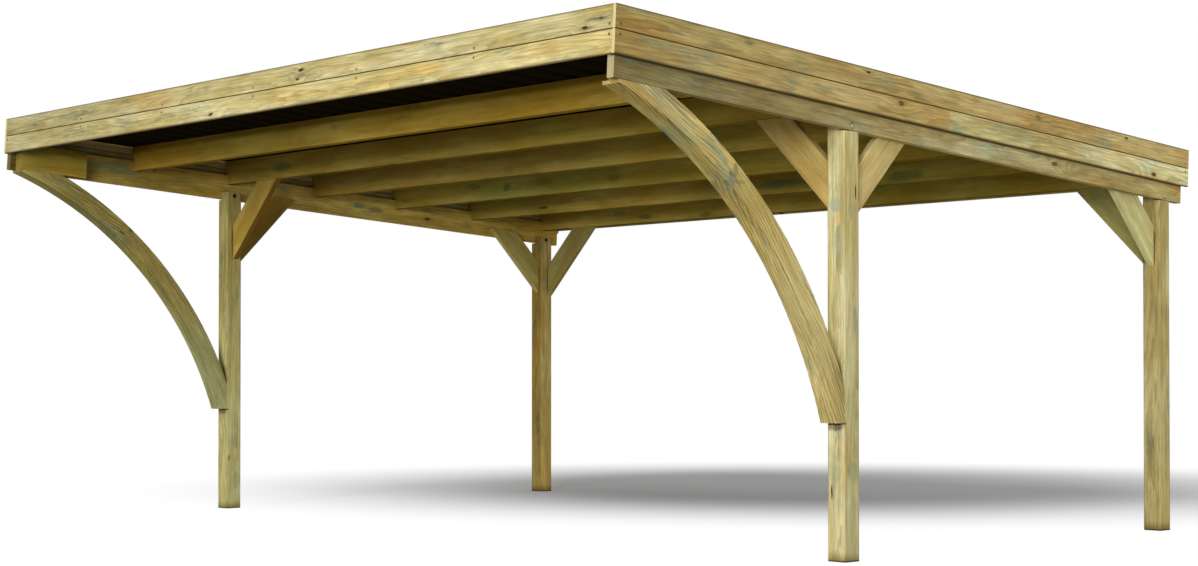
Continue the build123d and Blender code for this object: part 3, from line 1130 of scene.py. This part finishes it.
sheet_gloss = sheet_up * (0.45 - dust * 0.2)
sheet_gloss.into(sheet_shader, "Coat Weight")
bumped(sheet_shader, speck, 0.15, 0.0005)
sheet_shader.inputs["Coat Roughness"].default_value = 0.3
sheet_shader.inputs["Specular IOR Level"].default_value = 0.0
dress(sheet_steel, *(f"roof_sheet_{number}" for number in range(1, 7)))

# Floor, light and camera
# A pale floor shows the lamps' shadow in a grey ellipse behind the carport, painted shadow round the real
# one, and glows white to the eye outside it. A low and a high soft lamp stand in front on the right,
# and the camera looks a little upwards from where the carport was seen.
floor_mesh = bpy.data.meshes.new("floor")
reach = 60.0
floor_level = -0.0005
floor_corners = ((-reach, -reach), (reach, -reach), (reach, reach), (-reach, reach))
floor_mesh.from_pydata([(x, y, floor_level) for x, y in floor_corners], [], [(0, 1, 2, 3)])
floor = bpy.data.objects.new("floor", floor_mesh)
bpy.context.scene.collection.objects.link(floor)
floor_paint, floor_shader, floor_place = new_finish("floor_paint")
floor_shader.inputs["Roughness"].default_value = 0.9
floor_shader.inputs["Specular IOR Level"].default_value = 0.0
floor_split = floor_place.node("ShaderNodeSeparateXYZ", None, {0: floor_place})
# painted shadow: inside this ellipse the floor shows its own grey as well as the lamps' shadow, and outside
# it glows white to the eye
shadow_middle = (-1.8, 4.6)
shadow_turn = (0.72, 0.69)
shadow_length = 1.35
shadow_squeeze = 0.88
shadow_fades = (1.4, 4.6)
from_middle = floor_split.out(0) - shadow_middle[0]
behind_middle = floor_split.out(1) - shadow_middle[1]
sideways = (from_middle * shadow_turn[0] + behind_middle * shadow_turn[1]) / shadow_length
inwards = (behind_middle * shadow_turn[0] - from_middle * shadow_turn[1]) * shadow_squeeze
far = ramp((sideways * sideways + inwards * inwards) ** 0.5, *shadow_fades)


def seen_rays(start):
    """One for a ray that comes from the eye, straight or by way of a shine or a pane, or else nothing."""
    path = start.node("ShaderNodeLightPath", out="Is Camera Ray")
    seen = path.math("MAXIMUM", path, path.out("Is Glossy Ray"))
    return seen.math("MAXIMUM", seen, path.out("Is Transmission Ray"))


seen = seen_rays(floor_place)
floor_colour = mixed((0.60, 0.59, 0.57, 1.0), (0.66, 0.66, 0.66, 1.0), seen)
floor_colour.into(floor_shader, "Base Color")
matt = Socket(floor_place.tree, floor_shader.outputs[0])
glow = floor_place.node("ShaderNodeEmission", None, {"Color": (1.0, 1.0, 1.0, 1.0), "Strength": 1.0})
surface = floor_place.node("ShaderNodeMixShader", None, {0: seen * far, 1: matt, 2: glow})
surface.into(floor_place.tree.nodes["Material Output"], "Surface")
floor_mesh.materials.append(floor_paint)

world = bpy.data.worlds.new("studio")
bpy.context.scene.world = world
world.use_nodes = True
sky = world.node_tree.nodes["Background"]
sky.inputs["Color"].default_value = (1.0, 1.0, 1.0, 1.0)
sky_level = 0.42
sky_strength = sky_level + seen_rays(Socket(world.node_tree)) * (1.0 - sky_level)
sky_strength.into(sky, "Strength")

lamps = (
    ("soft_key", 2.4, 24.0, Vector((-0.558, 0.827, -0.070))),
    ("high_key", 1.0, 12.0, Vector((-0.332, 0.788, -0.518))),
)
for lamp_name, strength, softness, shines in lamps:
    lamp_data = bpy.data.lights.new(lamp_name, "SUN")
    lamp_data.energy = strength
    lamp_data.angle = math.radians(softness)
    lamp = bpy.data.objects.new(lamp_name, lamp_data)
    lamp.rotation_euler = shines.to_track_quat("-Z", "Y").to_euler()
    bpy.context.scene.collection.objects.link(lamp)

camera_data = bpy.data.cameras.new("camera")
camera_data.sensor_fit = "HORIZONTAL"
camera_data.sensor_width = 36.0
camera_data.lens = 60.737
camera_data.shift_y = 0.0515
camera_data.clip_end = 200.0
camera = bpy.data.objects.new("camera", camera_data)
camera.location = (9.8146, -9.1218, 0.9997)
camera_looks = Vector((-0.7253, 0.6883, 0.0138))
camera.rotation_euler = camera_looks.to_track_quat("-Z", "Y").to_euler()
bpy.context.scene.collection.objects.link(camera)
bpy.context.scene.camera = camera
bpy.context.scene.view_settings.view_transform = "Standard"
